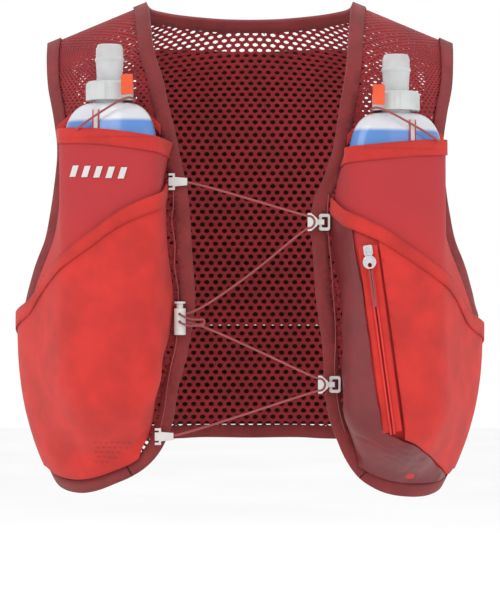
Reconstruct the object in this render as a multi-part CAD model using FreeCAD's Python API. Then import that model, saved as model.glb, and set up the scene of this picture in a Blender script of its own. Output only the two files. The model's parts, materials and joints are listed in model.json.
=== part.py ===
"""Running hydration vest: a mesh vest with two soft flasks in stretch chest pockets.

Row frame, millimetres: +Z up, the wearer faces -Y, +X is the wearer's left.
The origin lies on the body's axis at the height of the shoulder straps, where the vest hangs.
Fabric lies in layers on one torso surface, each a given distance outside it.
"""
import math
import os

import FreeCAD
import Part

Vector = FreeCAD.Vector

# Torso that the vest is worn on
TORSO_HALF_WIDTH = 212.0
TORSO_FRONT_DEPTH = 105.0
TORSO_BACK_DEPTH = 110.0
TORSO_POWER = 2.5
WAIST_START = 255.0
WAIST_SPAN = 140.0
WAIST_TAPER = 24.0
RIDGE_TOP = 38.0
RIDGE_SLOPE = 0.42
RIDGE_ROUND = 30.0
ARCH_FRONT = 115.0
ARCH_BACK = 130.0

# Fabric layers: distances outside the torso, then outside the pockets' own line
MESH = (0.5, 2.7)
POCKET_BASE = 4.3
POCKET_LAYER = (0.3, 1.3)
HEM_LAYER = (1.7, 2.5)
OUTER_LAYER = (3.0, 4.0)
OUTER_HEM_LAYER = (4.4, 5.4)

# Binding: a tape folded round the mesh's edge, as (distance from the edge, distance outside the torso)
BINDING_WIDTH = 12.0
BINDING_FOLD = [(12.0, 3.2), (0.3, 3.2), (0.3, 0.0), (12.0, 0.0), (12.0, -0.8), (-0.5, -0.8), (-0.5, 4.0),
                (12.0, 4.0)]
MESH_INSET = 4.0
SIDE_SEAM = 95.0
BACK_SEAM = 115.0
SEAM_GAP = 0.08

# Soft flasks
FLASK_HALF_WIDTH = 43.0
FLASK_HALF_DEPTH = 18.5
FLASK_YAW = 17.0
FLASK_Y = -116.5
FLASK_BODY_LENGTH = 270.0
FLASK_SHOULDER = 26.0
NECK_RADIUS = 13.5
NECK_HEIGHT = 16.0
CAP_RADIUS = 21.3
CAP_HEIGHT = 17.0
STEM_RADIUS = 7.0
STEM_HEIGHT = 15.0
VALVE_HEIGHT = 33.0
FLASK_CLEARANCE = 1.0
FLASK_EDGE_CLEARANCE = 3.0

# Zipper on the wearer's left chest: a straight line from its top to its bottom
ZIP_TOP = Vector(104.5, -145.2, -239.0)
ZIP_BOTTOM = Vector(126.5, -143.6, -402.0)
ZIP_TAPE_WIDTH = 8.5
ZIP_TAPE_THICKNESS = 0.6
ZIP_COIL_GAP = 1.4
ZIP_COIL_WIDTH = 1.8
ZIP_COIL_THICKNESS = 1.5

CORD_DIAMETER = 2.0
CORD_CLEARANCE = 0.3

# Outlines on one half of the vest, as (distance from the centre line, height)
SIDES = {
    "left": {
        "sign": 1,
        "flask_x": 131.0,
        "flask_top": -116.0,
        "opening": [(97, -3.5), (90, -50), (86, -83), (81, -112), (75, -148), (66, -175), (57.5, -195),
                    (56, -215), (57, -238), (60.3, -283), (65.7, -323), (69, -373), (73, -393), (79, -409)],
        "hem": [(87, -427), (100, -445), (120, -457), (145, -462), (166, -461), (181, -451), (188, -440)],
        "pocket_edge": [(88, -148), (80, -173), (76.5, -195), (76, -215), (78, -238), (84, -270), (87.5, -300),
                        (88, -328), (86, -350), (88.5, -373), (91, -391), (95, -407), (99, -422)],
        "pocket_mouth": [(0, -149), (0.3, -145), (0.55, -141), (0.85, -138), (1, -137)],
        "diagonal": [(72, -190), (109, -214), (143, -236), (166, -253), (181, -268), (197, -292),
                     (208, -312)],
        "pocket_fade": (-385, -446),
        "loop_x": 167.0,
    },
    "right": {
        "sign": -1,
        "flask_x": 126.0,
        "flask_top": -107.0,
        "opening": [(98, -4), (88.6, -52), (79.5, -83), (73, -112), (67.5, -134), (63, -157), (59.4, -173),
                    (55.8, -193), (53, -238), (50, -283), (53, -310), (58.5, -337), (65.7, -364), (70, -391),
                    (78, -413)],
        "hem": [(90, -430), (106, -442), (121, -449), (138, -456), (155, -459), (176, -454), (188, -440)],
        "pocket_edge": [(71, -141), (76, -160), (78.5, -180), (79, -206), (77.5, -238), (73.5, -265),
                        (71.5, -290), (75.5, -315), (83, -337), (88, -364), (91, -391), (95, -410), (99, -424)],
        "pocket_mouth": [(0, -141), (0.25, -136), (0.5, -130.5), (0.8, -128), (1, -127)],
        "diagonal": [(75, -176), (109, -200), (144, -225), (167, -243), (183, -261), (199, -282),
                     (209, -303)],
        "pocket_fade": (-352, -428),
        "loop_x": 152.7,
    },
}
ARMHOLE_FRONT = [(190, -43), (185, -81), (178, -115), (174, -146), (177, -180), (180, -200), (186, -228),
                 (195, -250), (202, -272), (208, -292)]
ARMHOLE_BACK = [(190, -43), (180, -85), (170, -130), (166, -180), (168, -230), (177, -266), (193, -292)]
ARMHOLE_BOTTOM = -306.0
NECKLINE = [(98, -4.9), (94, -6.8), (85, -8), (68, -9), (45, -9.6), (22, -10), (0, -10)]
FLASK_FOOT = [(174, -118), (171, -150), (170, -180), (172, -206), (177, -230), (186, -252), (194, -272)]
HEM_SIDE = -437.0
HEM_BACK = -420.0

# Curved lower edge of the stretch pocket on the wearer's left, as (distance from the centre line, height)
STRETCH_CURVE = [(112, -402), (122, -403.5), (134, -406), (146, -412), (157, -421), (168, -432), (178, -443),
                 (190, -458)]


# ---------------------------------------------------------------- torso surface

def smooth(points, t):
    """Value at t of a curve through (t, value) points, with Catmull-Rom slopes."""
    if t <= points[0][0]:
        return points[0][1]
    if t >= points[-1][0]:
        return points[-1][1]
    k = next(i for i in range(1, len(points)) if points[i][0] >= t)
    (t0, v0), (t1, v1) = points[k - 1], points[k]
    before = points[k - 2] if k > 1 else points[k - 1]
    after = points[k + 1] if k + 1 < len(points) else points[k]
    m0 = (v1 - before[1]) / (t1 - before[0])
    m1 = (after[1] - v0) / (after[0] - t0)
    h = t1 - t0
    s = (t - t0) / h
    return ((2 * s ** 3 - 3 * s ** 2 + 1) * v0 + (s ** 3 - 2 * s ** 2 + s) * h * m0
            + (3 * s ** 2 - 2 * s ** 3) * v1 + (s ** 3 - s ** 2) * h * m1)


def ridge(x):
    """Height of the shoulder line above the front and back, at x."""
    return RIDGE_TOP - RIDGE_SLOPE * math.hypot(x, RIDGE_ROUND)


def half_width(drop):
    past = max(0.0, (drop - WAIST_START) / WAIST_SPAN)
    return TORSO_HALF_WIDTH - WAIST_TAPER * past ** 2.2


def unrolled(drop):
    """Distance over the shoulder's arch for a drop below the shoulder line."""
    if drop >= ARCH_BACK:
        return ARCH_BACK * math.pi / 2 + drop - ARCH_BACK
    return ARCH_BACK * math.acos(1 - max(0.0, drop) / ARCH_BACK)


def rolled(down):
    if down >= ARCH_BACK * math.pi / 2:
        return down - ARCH_BACK * math.pi / 2 + ARCH_BACK
    return ARCH_BACK * (1 - math.cos(down / ARCH_BACK))


def bare_torso(angle, down):
    """Torso point at an angle from the front centre and a distance down from the shoulder line."""
    drop = rolled(down)
    sine, cosine = math.sin(math.radians(angle)), math.cos(math.radians(angle))
    wide = half_width(drop)
    deep, arch = (TORSO_FRONT_DEPTH, ARCH_FRONT) if cosine > 0 else (TORSO_BACK_DEPTH, ARCH_BACK)
    radius = (abs(sine / wide) ** TORSO_POWER + abs(cosine / deep) ** TORSO_POWER) ** (-1 / TORSO_POWER)
    x = radius * sine
    lean = math.sqrt(1 - (1 - min(1.0, drop / arch)) ** 2)
    return Vector(x, -radius * cosine * math.copysign(lean, down), ridge(x) - drop)


def slopes(angle, down):
    """Movement on the torso per degree of angle and per millimetre down."""
    per_angle = bare_torso(angle + 0.5, down) - bare_torso(angle - 0.5, down)
    per_down = (bare_torso(angle, down + 1) - bare_torso(angle, down - 1)) * 0.5
    return per_angle, per_down


def torso(angle, down, out=0.0, sign=1):
    """Torso point moved outward along the surface's normal; sign -1 is the mirrored half."""
    per_angle, per_down = slopes(angle, down)
    here = bare_torso(angle, down) + per_down.cross(per_angle).normalize() * out
    return Vector(here.x * sign, here.y, here.z)


def angle_of(x, z, front=True):
    deep = TORSO_FRONT_DEPTH if front else TORSO_BACK_DEPTH
    wide = half_width(ridge(x) - z)
    y = deep * max(0.0, 1 - (abs(x) / wide) ** TORSO_POWER) ** (1 / TORSO_POWER)
    angle = math.degrees(math.atan2(x, y))
    return angle if front else 180 - angle


def down_at(angle, z):
    """Distance down to the torso point at this angle and height."""
    drop = -z
    for _ in range(4):
        drop = ridge(bare_torso(angle, unrolled(drop)).x) - z
    return unrolled(drop)


def at_height(angle, z, out, sign=1):
    return torso(angle, down_at(angle, z), out, sign)


# ---------------------------------------------------------------- paths on the torso, as (angle, down)

def places(outline, front=True):
    """(angle, down) of outline points given as (x, z)."""
    return [(angle_of(x, z, front), unrolled(max(0.0, ridge(x) - z))) for x, z in outline]


def path_through(points):
    """Path paced by its length: a function from 0..1 to (angle, down)."""
    paces = [0.0]
    for a, b in zip(points, points[1:]):
        paces.append(paces[-1] + (bare_torso(*a) - bare_torso(*b)).Length)
    angles = [(pace / paces[-1], a[0]) for pace, a in zip(paces, points)]
    downs = [(pace / paces[-1], a[1]) for pace, a in zip(paces, points)]
    return lambda t: (smooth(angles, t), smooth(downs, t))


def stretch(path, start, end):
    """Part of a path, run from start to end."""
    return lambda t: path(start + (end - start) * t)


def beside(path, t, distance):
    """(angle, down) a distance to the right of a path, seen from outside the torso."""
    angle, down = path(t)
    back, on = path(max(0.0, t - 0.006)), path(min(1.0, t + 0.006))
    ahead = bare_torso(*on) - bare_torso(*back)
    per_angle, per_down = slopes(angle, down)
    step = ahead.cross(per_down.cross(per_angle)).normalize() * distance
    aa, ad, dd = per_angle.dot(per_angle), per_angle.dot(per_down), per_down.dot(per_down)
    wa, wd = step.dot(per_angle), step.dot(per_down)
    spread = aa * dd - ad * ad
    return angle + (wa * dd - wd * ad) / spread, down + (wd * aa - wa * ad) / spread


def inset(path, distance):
    return lambda t: beside(path, t, distance)


def when(path, angle, start, end):
    """Place along a path where it reaches an angle, found between start and end."""
    rising = path(end)[0] > path(start)[0]
    for _ in range(40):
        middle = (start + end) / 2
        if (path(middle)[0] < angle) == rising:
            start = middle
        else:
            end = middle
    return start


def samples(path, start, end, count):
    return [path(start + (end - start) * k / (count - 1)) for k in range(count)]


# ---------------------------------------------------------------- solids from surfaces

def spline_surface(rows):
    """Cubic surface drawn towards a grid of points."""
    knots = [list(range(len(grid) - 2)) for grid in (rows, rows[0])]
    counts = [[4] + [1] * (len(line) - 2) + [4] for line in knots]
    surface = Part.BSplineSurface()
    surface.buildFromPolesMultsKnots(rows, counts[0], counts[1], knots[0], knots[1], False, False, 3, 3)
    return surface


def panel(point, near, far, across=14, along=18):
    """Closed sheet between two layers; point(u, v, out) gives its places."""
    layers = [spline_surface([[point(i / (across - 1), j / (along - 1), out) for j in range(along)]
                              for i in range(across)]) for out in (near, far)]
    faces = [layer.toShape() for layer in layers]
    low, high = (layer.bounds() for layer in layers)
    for k in (0, 1):
        faces.append(ruled(layers[0].uIso(low[k]).toShape(), layers[1].uIso(high[k]).toShape()))
    for k in (2, 3):
        faces.append(ruled(layers[0].vIso(low[k]).toShape(), layers[1].vIso(high[k]).toShape()))
    return closed_solid(faces)


def ruled(first, second):
    """Surface between two edges that run the same way."""
    return Part.makeRuledSurface(first, second, 1)


def closed_solid(faces):
    shell = Part.makeShell(faces)
    shell.sewShape()
    solid = Part.makeSolid(shell)
    if solid.Volume < 0:
        solid.reverse()
    return solid


def tape(point, section, count=24, closed=False):
    """Strip along a line: point(t, across, out), with its section's corners as (across, out)."""
    rails = []
    steps = count if closed else count - 1
    for across, out in section:
        curve = Part.BSplineCurve()
        curve.interpolate([point(k / steps, across, out) for k in range(count)], PeriodicFlag=closed)
        rails.append(curve.toShape())
    corners = len(section)
    faces = [ruled(rails[k], rails[(k + 1) % corners]) for k in range(corners)]
    if not closed:
        faces += end_faces(rails, 0) + end_faces(rails, 1)
    return closed_solid(faces)


def end_faces(rails, end):
    """Faces that close a tape's end; a folded tape has one for each wall."""
    ends = [rail.valueAt(rail.LastParameter if end else rail.FirstParameter) for rail in rails]
    quads = len(ends) // 2 - 1
    faces = []
    for k in range(quads):
        a, b, c, d = ends[k], ends[k + 1], ends[-k - 2], ends[-k - 1]
        faces.append(ruled(Part.makeLine(a, b), Part.makeLine(d, c)))
    return faces


def flat_section(width, layer):
    near, far = layer
    return [(0, near), (width, near), (width, far), (0, far)]


def box(size, centre):
    return Part.makeBox(size[0], size[1], size[2], centre - Vector(*size) * 0.5)


def rounded(shape, radius, edges=None):
    return shape.makeFillet(radius, edges or shape.Edges)


def rod(start, end, radius):
    return Part.makeCylinder(radius, (end - start).Length, start, end - start)


# ---------------------------------------------------------------- cords

def cord_edges(points):
    """Straight runs joined by tangent arcs, each arc as large as its two runs allow."""
    edges = []
    radii = []
    last = points[0]
    for before, corner, after in zip(points, points[1:], points[2:]):
        run_in, run_out = corner - before, after - corner
        turn = run_in.getAngle(run_out)
        reach = 0.45 * min(run_in.Length, run_out.Length)
        radii.append(reach / math.tan(turn / 2))
        start = corner - run_in.normalize() * reach
        end = corner + run_out.normalize() * reach
        chord_middle = (start + end) * 0.5
        sag = radii[-1] * (1 - math.cos(turn / 2))
        middle = chord_middle + (corner - chord_middle).normalize() * sag
        edges.append(Part.LineSegment(last, start).toShape())
        edges.append(Part.Arc(start, middle, end).toShape())
        last = end
    edges.append(Part.LineSegment(last, points[-1]).toShape())
    return edges, radii


def pipe_along(path, points, diameter):
    section = Part.Wire(Part.Circle(points[0], points[1] - points[0], diameter / 2).toShape())
    return path.makePipeShell([section], True, False)


def cord_way(points):
    """Room for a cord and a little clearance all round it."""
    return pipe_along(Part.Wire(cord_edges(points)[0]), points, CORD_DIAMETER + 2 * CORD_CLEARANCE)


def cord(name, points, diameter):
    edges, radii = cord_edges(points)
    path = Part.Wire(edges)
    solid = pipe_along(path, points, diameter)
    length = path.Length
    share = solid.Volume / (length * math.pi * diameter ** 2 / 4)
    print(f"{name}: length {length:.1f}, smallest radius {min(radii):.1f}, volume share {share:.4f}")
    return solid


# ---------------------------------------------------------------- vest body

def front_edge(side):
    """Path down the opening's edge, round its corner and along the hem to the side seam."""
    outline = places(side["opening"] + side["hem"])
    return path_through(outline + [(SIDE_SEAM - SEAM_GAP, down_at(SIDE_SEAM, HEM_SIDE))])


def corner_of(side):
    """Place along the front edge of its lower corner."""
    edge = front_edge(side)
    x, z = side["hem"][0]
    return when(edge, angle_of(x, z), 0.6, 0.8)


def armhole():
    """Path down the armhole's front edge, under the arm and up its back edge."""
    under = [(SIDE_SEAM, down_at(SIDE_SEAM, ARMHOLE_BOTTOM)), (101, down_at(101, ARMHOLE_BOTTOM + 2))]
    return path_through(places(ARMHOLE_FRONT) + under + places(ARMHOLE_BACK, front=False)[::-1])


def back_hem():
    """Path along the hem from one side seam round the back to the other."""
    half = [(SIDE_SEAM + SEAM_GAP, HEM_SIDE), (105, -431), (BACK_SEAM, -426), (130, -421.5), (150, HEM_BACK)]
    whole = half + [(180, HEM_BACK)] + [(360 - angle, z) for angle, z in half[::-1]]
    return path_through([(angle, down_at(angle, z)) for angle, z in whole])


def neckline():
    half = places(NECKLINE, front=False)
    return path_through(half + [(360 - angle, down) for angle, down in half[-2::-1]])


def torso_patch(bottom, top, low, high, across, along, sign=1):
    """Mesh inside four paths: bottom and top run across from low to high, low and high run up."""
    corners = [bottom(0), bottom(1), top(0), top(1)]

    def place(u, v, out):
        spot = []
        for k in (0, 1):
            blend = ((1 - u) * (1 - v) * corners[0][k] + u * (1 - v) * corners[1][k]
                     + (1 - u) * v * corners[2][k] + u * v * corners[3][k])
            spot.append((1 - v) * bottom(u)[k] + v * top(u)[k] + (1 - u) * low(v)[k] + u * high(v)[k] - blend)
        return torso(spot[0], spot[1], out, sign)

    return panel(place, *MESH, across=across, along=along)


RIDGE_GAP = 0.2


def up_to_ridge(path, start, end, count):
    """Points along a path whose last one is put right at the shoulder line."""
    points = samples(path, start, end, count)
    return points[:-1] + [(points[-1][0], RIDGE_GAP)]


def front_panel(side):
    edge = inset(front_edge(side), -MESH_INSET)
    corner = corner_of(side)
    hole = inset(armhole(), MESH_INSET)
    seam = SIDE_SEAM - SEAM_GAP
    under = when(hole, seam, 0.3, 0.6)
    bottom = stretch(edge, corner, 1.0)
    low = path_through(up_to_ridge(edge, corner, 0.0, 32))
    side_line = [(seam, bottom(1)[1]), (seam, (bottom(1)[1] + hole(under)[1]) / 2)]
    high = path_through(side_line + up_to_ridge(hole, under, 0.0, 14))
    top = path_through([low(1), (58, RIDGE_GAP), high(1)])
    return torso_patch(bottom, top, low, high, 16, 40, side["sign"])


def back_panel():
    seam = BACK_SEAM + SEAM_GAP
    hole = inset(armhole(), MESH_INSET)
    under = when(hole, seam, 0.5, 0.75)
    hem = inset(back_hem(), -MESH_INSET)
    bottom = stretch(hem, when(hem, seam, 0.0, 0.4), when(hem, 360 - seam, 0.6, 1.0))
    low = path_through([(seam, bottom(0)[1]), (seam, (bottom(0)[1] + hole(under)[1]) / 2)]
                       + up_to_ridge(hole, under, 1.0, 14))
    neck = samples(inset(neckline(), MESH_INSET), 0.0, 1.0, 17)
    neck[0], neck[-1] = (neck[0][0], RIDGE_GAP), (neck[-1][0], RIDGE_GAP)
    shoulder = [low(1), ((low(1)[0] + neck[0][0]) / 2, RIDGE_GAP)]
    other = [(360 - angle, down) for angle, down in shoulder[::-1]]
    top = path_through(shoulder + neck + other)
    return torso_patch(bottom, top, low, lambda t: (360 - low(t)[0], low(t)[1]), 37, 34)


def side_panel(side):
    hole = inset(armhole(), MESH_INSET)
    hem = inset(back_hem(), -MESH_INSET)
    front, back = SIDE_SEAM + SEAM_GAP, BACK_SEAM - SEAM_GAP
    bottom = stretch(hem, 0.0, when(hem, back, 0.0, 0.4))
    top = stretch(hole, when(hole, front, 0.3, 0.6), when(hole, back, 0.5, 0.75))
    low = path_through([bottom(0), top(0)])
    high = path_through([bottom(1), top(1)])
    return torso_patch(bottom, top, low, high, 8, 12, side["sign"])


def binding(path, panel_side, count, closed=False, sign=1):
    def place(t, across, out):
        return torso(*beside(path, t, across * panel_side), out, sign)

    return tape(place, BINDING_FOLD, count, closed)


def front_binding(side):
    return binding(stretch(front_edge(side), 0.001, corner_of(side) + 0.03), -1, 40, sign=side["sign"])


def hem_binding(side):
    return binding(stretch(front_edge(side), corner_of(side) + 0.032, 1.0), -1, 24, sign=side["sign"])


def armhole_binding(side):
    return binding(armhole(), 1, 60, closed=True, sign=side["sign"])


# ---------------------------------------------------------------- chest pockets

def flask_section(side, z, count=48):
    """Room for the flask in its pocket at a height, as (x, y) points on the +X half."""
    high, low = side["pocket_fade"]
    fade = min(1.0, max(0.0, (high - z) / (high - low)))
    depth = (FLASK_HALF_DEPTH + FLASK_CLEARANCE) * math.sqrt(1 - fade ** 2)
    width = (FLASK_HALF_WIDTH + FLASK_EDGE_CLEARANCE) * (1 - 0.55 * fade)
    centre_y = FLASK_Y + (FLASK_HALF_DEPTH - depth) * 0.8 + 30.0 * fade ** 2.2
    yaw = math.radians(FLASK_YAW)
    points = []
    for k in range(count):
        turn = 2 * math.pi * k / count
        u = width * math.copysign(abs(math.cos(turn)) ** 0.9, math.cos(turn))
        w = depth * math.copysign(abs(math.sin(turn)) ** 0.9, math.sin(turn))
        points.append((side["flask_x"] + u * math.cos(yaw) - w * math.sin(yaw),
                       centre_y + u * math.sin(yaw) + w * math.cos(yaw)))
    return points


def zipper_at(z):
    """Point of the zipper's line at a height."""
    share = (z - ZIP_TOP.z) / (ZIP_BOTTOM.z - ZIP_TOP.z)
    return ZIP_TOP + (ZIP_BOTTOM - ZIP_TOP) * share


def foot_angle(layer, z):
    """Angle of a pocket's outer seam at a height, where it meets the torso."""
    if layer != "flask":
        return smooth([(150, 79), (230, 86), (305, 94), (600, 94.3)], -z)
    points = [(-height, angle_of(x, height)) for x, height in FLASK_FOOT]
    return smooth(points + [(330, 82.0), (600, 83.0)], -z)


def zipper_support(z):
    """Points of the outer pocket's fabric that carry the straight zipper at a height."""
    below = max(0.0, ZIP_BOTTOM.z - z)
    set_back = 5.0 + 10.0 * max(0.0, (z + 320) / 40) + 0.03 * below ** 2
    zipper = zipper_at(max(z, ZIP_BOTTOM.z - 4))
    return [(zipper.x - 8, zipper.y + set_back + 1), (zipper.x + 9, zipper.y + set_back + 0.4)]


def pocket_section(side, layer, z):
    """Taut fabric over the flask at a height: (x, y) points from the inner seam to the outer seam."""
    edge = [(-height, x) for x, height in side["pocket_edge"]]
    start = angle_of(smooth(edge, -z), z)
    end = foot_angle(layer, z)
    feet = []
    for k in range(33):
        foot = at_height(start + (end - start) * k / 32, z, POCKET_BASE)
        feet.append((foot.x, foot.y))
    cloud = feet + flask_section(side, z)
    if layer == "zip":
        cloud += zipper_support(z)
    return outer_chain(cloud, feet[0], feet[-1])


def outer_chain(cloud, start, end):
    """Convex line round the outside of a cloud of points, from start to end."""
    def turns(o, a, b):
        return (a[0] - o[0]) * (b[1] - o[1]) - (a[1] - o[1]) * (b[0] - o[0])

    ordered = sorted(set(cloud))
    ring = []
    for points in (ordered, ordered[::-1]):
        chain = []
        for p in points:
            while len(chain) > 1 and turns(chain[-2], chain[-1], p) <= 0:
                chain.pop()
            chain.append(p)
        ring += chain[:-1]

    def nearest(point):
        return min(range(len(ring)), key=lambda k: math.dist(ring[k], point))

    first, last = nearest(start), nearest(end)
    line = [ring[k % len(ring)] for k in range(first, last + 1 if last >= first else last + 1 + len(ring))]
    if math.dist(line[0], start) > 0.01:
        line.insert(0, start)
    if math.dist(line[-1], end) > 0.01:
        line.append(end)
    return line


SECTION_SAMPLES = 61
SECTIONS_MADE = {}


def even_section(side, layer, z):
    """The section's points, evenly spaced; each section is made once."""
    key = (side["sign"], layer, round(z, 2))
    if key not in SECTIONS_MADE:
        line = pocket_section(side, layer, z)
        along = [0.0]
        for a, b in zip(line, line[1:]):
            along.append(along[-1] + math.dist(a, b))
        points = []
        k = 0
        for i in range(SECTION_SAMPLES):
            at = along[-1] * i / (SECTION_SAMPLES - 1)
            while k < len(line) - 2 and along[k + 1] < at:
                k += 1
            share = (at - along[k]) / max(1e-9, along[k + 1] - along[k])
            points.append(tuple(line[k][c] + (line[k + 1][c] - line[k][c]) * share for c in (0, 1)))
        SECTIONS_MADE[key] = points
    return SECTIONS_MADE[key]


def pocket_point(side, layer, share, z, out):
    """Point of the pocket's fabric at a share of the way from its inner to its outer seam."""
    points = even_section(side, layer, z)
    at = min(max(share, 0.0), 1.0) * (SECTION_SAMPLES - 1)
    k = min(int(at), SECTION_SAMPLES - 2)
    f = at - k
    x, y = (points[k][c] + (points[k + 1][c] - points[k][c]) * f for c in (0, 1))
    before = points[max(0, k - 1)]
    after = points[min(SECTION_SAMPLES - 1, k + 2)]
    along_x, along_y = after[0] - before[0], after[1] - before[1]
    length = math.hypot(along_x, along_y)
    return Vector((x + out * along_y / length) * side["sign"], y - out * along_x / length, z)


def share_at(side, layer, x, z):
    """Share along the pocket's section where it is x from the centre line."""
    points = even_section(side, layer, z)
    for k in range(SECTION_SAMPLES - 1):
        if points[k][0] <= x <= points[k + 1][0]:
            return (k + (x - points[k][0]) / (points[k + 1][0] - points[k][0])) / (SECTION_SAMPLES - 1)
    return 1.0 if x > 150 else 0.0


def outer_layer(side):
    return "zip" if side["sign"] > 0 else "stretch"


def mouth_height(side, share):
    return smooth(side["pocket_mouth"], share)


def table_over_shares(side, name, height_at):
    """Heights at even shares, worked out once and read as a smooth line."""
    if name not in side:
        side[name] = [(k / 24, height_at(k / 24)) for k in range(25)]
    return side[name]


def diagonal_height(side, share):
    """Height of the outer pocket's mouth at a share of the way across."""
    if "diagonal_by_share" not in side:
        points = [(share_at(side, outer_layer(side), x, z), z) for x, z in side["diagonal"]]
        side["diagonal_by_share"] = [(0.0, points[0][1])] + points[1:-1] + [(1.0, points[-1][1])]
    return smooth(side["diagonal_by_share"], share)


def hem_height(side, angle):
    outline = [(angle_of(x, z), z) for x, z in side["hem"]]
    return smooth(outline + [(SIDE_SEAM, HEM_SIDE)], angle)


def hem_side_height(side, layer, share):
    """Height of the pocket's bottom seam, just above the hem's binding."""
    z = -430.0
    for _ in range(12):
        x = abs(pocket_point(side, layer, share, z, 0).x)
        angle = foot_angle(layer, z) if share > 0.97 else angle_of(min(x, 186.0), z)
        z = 0.5 * z + 0.5 * (hem_height(side, angle) + BINDING_WIDTH - 1.0)
    return z


def bottom_height(side, layer, share):
    table = table_over_shares(side, "bottom_" + layer, lambda s: hem_side_height(side, layer, s))
    return smooth(table, share)


def pocket_sheet(side, fabric, low, high, top, bottom, layers, across=30, along=26):
    """Pocket fabric between shares low(z) and high(z), from bottom(share) up to top(share)."""
    def place(u, v, out):
        share = 0.5
        for _ in range(8):
            z = bottom(share) + v * (top(share) - bottom(share))
            share = 0.5 * share + 0.5 * (low(z) + u * (high(z) - low(z)))
        return pocket_point(side, fabric, share, z, out)

    return panel(place, *layers, across=across, along=along)


def flask_pocket(side):
    return pocket_sheet(side, "flask", lambda z: 0.0, lambda z: 1.0, lambda s: mouth_height(side, s),
                        lambda s: bottom_height(side, "flask", s), POCKET_LAYER)


def hem_band(side, fabric, top, width, layers):
    """Hem tape that runs along a pocket's mouth."""
    def place(t, across, out):
        share = 0.004 + 0.992 * t
        return pocket_point(side, fabric, share, top(share) - across, out)

    return tape(place, flat_section(width, layers), 34)


def flask_pocket_hem(side):
    return hem_band(side, "flask", lambda s: mouth_height(side, s) - 0.3, 14.0, HEM_LAYER)


def stretch_pocket_hem(side):
    return hem_band(side, outer_layer(side), lambda s: diagonal_height(side, s), 15.0, OUTER_HEM_LAYER)


ZIP_EDGE = ZIP_TAPE_WIDTH + 1.5


def curve_height(x):
    """Height of the stretch pocket's curved lower edge beside the zip pocket."""
    return smooth(STRETCH_CURVE, x)


def stretch_bottom(side, share):
    """Lower edge of the stretch pocket: the hem, or the curve where that is higher."""
    hem = bottom_height(side, outer_layer(side), share)
    if side["sign"] < 0:
        return hem
    z = -420.0
    for _ in range(10):
        z = 0.5 * z + 0.5 * curve_height(abs(pocket_point(side, "zip", share, z, 0).x))
    return max(hem, z)


def stretch_pocket(side):
    """Outer stretch pocket; on the wearer's left it starts at the zipper's outer tape."""
    fabric = outer_layer(side)

    def inner(z):
        if side["sign"] < 0:
            return 0.0
        return share_at(side, fabric, zipper_at(max(z, ZIP_BOTTOM.z)).x + ZIP_EDGE, z)

    table = table_over_shares(side, "stretch_bottom", lambda s: stretch_bottom(side, s))
    return pocket_sheet(side, fabric, inner, lambda z: 1.0, lambda s: diagonal_height(side, s) - 1.0,
                        lambda s: smooth(table, s), OUTER_LAYER)


def zip_pocket_panel(side):
    """Ripstop of the zip pocket, inside the zipper and below the stretch pocket's curved edge."""
    along_curve = [(-z, x - 2.5) for x, z in STRETCH_CURVE[2:]]
    at_zipper = [(-z, zipper_at(z).x - ZIP_EDGE) for z in (-180, -240, -300, -360, -398)]
    boundary = at_zipper + [(402, 116.5), (404.6, 122)] + along_curve

    def outer(z):
        return share_at(side, "zip", smooth(boundary, -z), z)

    return pocket_sheet(side, "zip", lambda z: 0.0, outer, lambda s: diagonal_height(side, s) - 1.0,
                        lambda s: bottom_height(side, "zip", s), OUTER_LAYER, across=20, along=40)


# ---------------------------------------------------------------- zipper

def zip_frame():
    """Placement whose X runs down the zipper, Y across it and Z out of the chest."""
    down = (ZIP_BOTTOM - ZIP_TOP).normalize()
    out = Vector(-0.10, -1.0, 0.0)
    out = (out - down * out.dot(down)).normalize()
    across = out.cross(down)
    matrix = FreeCAD.Matrix(down.x, across.x, out.x, ZIP_TOP.x, down.y, across.y, out.y, ZIP_TOP.y,
                            down.z, across.z, out.z, ZIP_TOP.z, 0, 0, 0, 1)
    return FreeCAD.Placement(matrix)


def on_zipper(shape):
    shape.Placement = zip_frame().multiply(shape.Placement)
    return shape


def zip_length():
    return (ZIP_BOTTOM - ZIP_TOP).Length


def zipper_tape(way):
    inner = ZIP_COIL_GAP / 2 + ZIP_COIL_WIDTH
    width = ZIP_TAPE_WIDTH - ZIP_COIL_GAP / 2
    strip = box((zip_length() + 2, width, ZIP_TAPE_THICKNESS),
                Vector(zip_length() / 2 - 3, way * (ZIP_COIL_GAP / 2 + width / 2), 0))
    coil = box((zip_length(), ZIP_COIL_WIDTH, ZIP_COIL_THICKNESS),
               Vector(zip_length() / 2, way * (inner - ZIP_COIL_WIDTH / 2), ZIP_COIL_THICKNESS / 2))
    return on_zipper(strip), on_zipper(rounded_coil(coil))


def rounded_coil(coil):
    """Coil rail with its outer edges broken, standing on the tape."""
    lifted = coil.translated(Vector(0, 0, ZIP_TAPE_THICKNESS / 2 + 0.02))
    long_edges = [e for e in lifted.Edges if e.Length > 50 and e.CenterOfMass.z > 1]
    return lifted.makeFillet(0.5, long_edges)


SLIDER_LENGTH = 9.0
SLIDER_WIDTH = 8.0


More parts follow.
